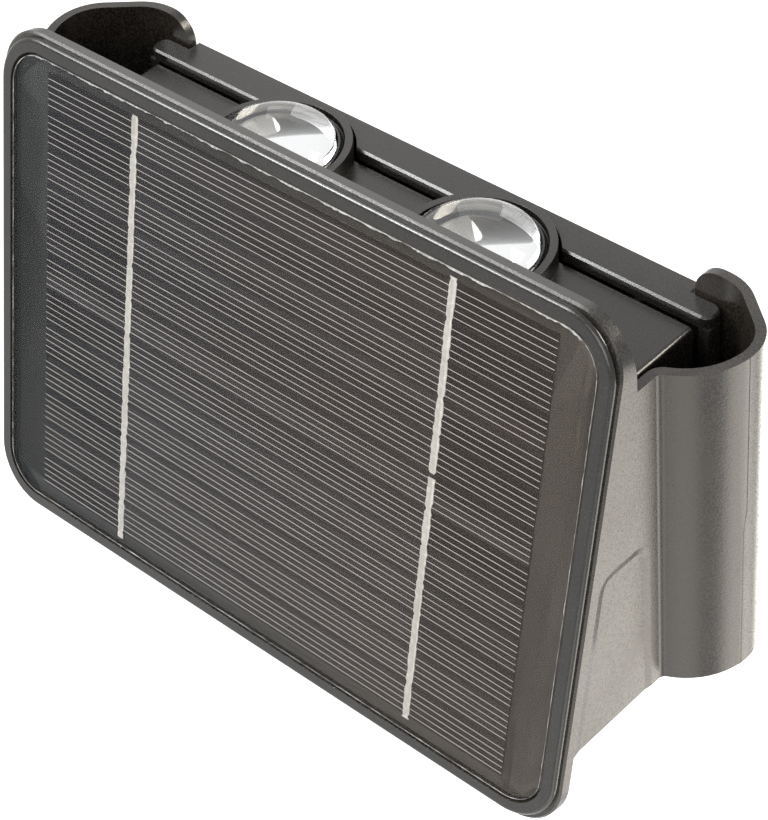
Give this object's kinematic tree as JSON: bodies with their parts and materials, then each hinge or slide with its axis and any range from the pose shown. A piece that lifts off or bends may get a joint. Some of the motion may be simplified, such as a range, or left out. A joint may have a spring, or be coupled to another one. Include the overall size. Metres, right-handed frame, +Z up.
{
  "type": "solar fence light",
  "caption": "Solar fence light: leaning panel front, twin clear lenses in its top, hollow side ears that hook down over a screwed wall bracket.",
  "frame": {"origin": "on the wall plane, midway between the bracket's four screw holes", "axes": "+Z up the wall, +Y into the wall, -Y out to the viewer, +X to the viewer's right"},
  "size_m": [0.17, 0.0606, 0.1044],
  "materials": {
    "housing_black": "fine-grained dark bronze ABS moulding",
    "case_black": "fine-grained charcoal ABS moulding",
    "bracket_black": "fine-grained charcoal ABS moulding",
    "ring_black": "gloss black plastic",
    "clear_lens": "clear moulded lens",
    "clear_cover": "clear cast resin, satin",
    "silicon": "dark anti-reflective solar cell",
    "ribbon": "tinned copper ribbon",
    "board_black": "black circuit board laminate",
    "sealant": "pale silicone sealant",
    "foam": "black closed-cell foam",
    "seal_rubber": "black silicone",
    "plated": "vacuum-plated reflector",
    "led_board_white": "white-coated aluminium board",
    "led_yellow": "phosphor and clear silicone",
    "nickel": "nickel-plated spring steel",
    "screw_steel": "zinc-plated steel",
    "cell_wrap": "blue shrink sleeve",
    "holder_black": "black nylon",
    "board_green": "green circuit board",
    "chip_black": "black epoxy package",
    "ferrite": "dark ferrite",
    "capacitor_can": "aluminium can",
    "switch_black": "black nylon",
    "button_grey": "dark grey rubber-faced button",
    "wire_sleeve": "red PVC sleeve"
  },
  "bodies": {
    "bracket": {"wall_bracket": "bracket_black"},
    "light": {"front_housing": "housing_black", "rear_case": "case_black", "case_gasket": "foam", "case_screws": "screw_steel", "panel_board": "board_black", "panel_cover": "clear_cover", "panel_glue": "sealant", "solar_cells": "silicon", "cell_ribbons": "ribbon", "battery_cell": "cell_wrap", "battery_holder": "holder_black", "positive_contact": "nickel", "negative_contact": "nickel", "holder_screws": "screw_steel", "control_board": "board_green", "board_screws": "screw_steel", "control_chip": "chip_black", "choke": "ferrite", "capacitor": "capacitor_can", "switch_body": "switch_black", "switch_seal": "seal_rubber", "led_wires": "wire_sleeve", "panel_leads": "wire_sleeve", "battery_leads": "wire_sleeve", "switch_leads": "wire_sleeve", "led_screws": "screw_steel", "lens_left": "clear_lens", "lens_retainer_left": "ring_black", "lens_seal_left": "seal_rubber", "reflector_left": "plated", "led_board_left": "led_board_white", "led_left": "led_yellow", "lens_right": "clear_lens", "lens_retainer_right": "ring_black", "lens_seal_right": "seal_rubber", "reflector_right": "plated", "led_board_right": "led_board_white", "led_right": "led_yellow"},
    "button": {"push_button": "button_grey"}
  },
  "joints": [
    {"name": "lift_off_slide", "type": "slide", "parent": "bracket", "child": "light", "axis": [0, 0, 1], "range_m": [0, 0.075]},
    {"name": "switch_press", "type": "slide", "parent": "light", "child": "button", "axis": [0, 0, 1], "range_m": [0, 0.0015], "stiffness_N_per_m": 600}
  ]
}
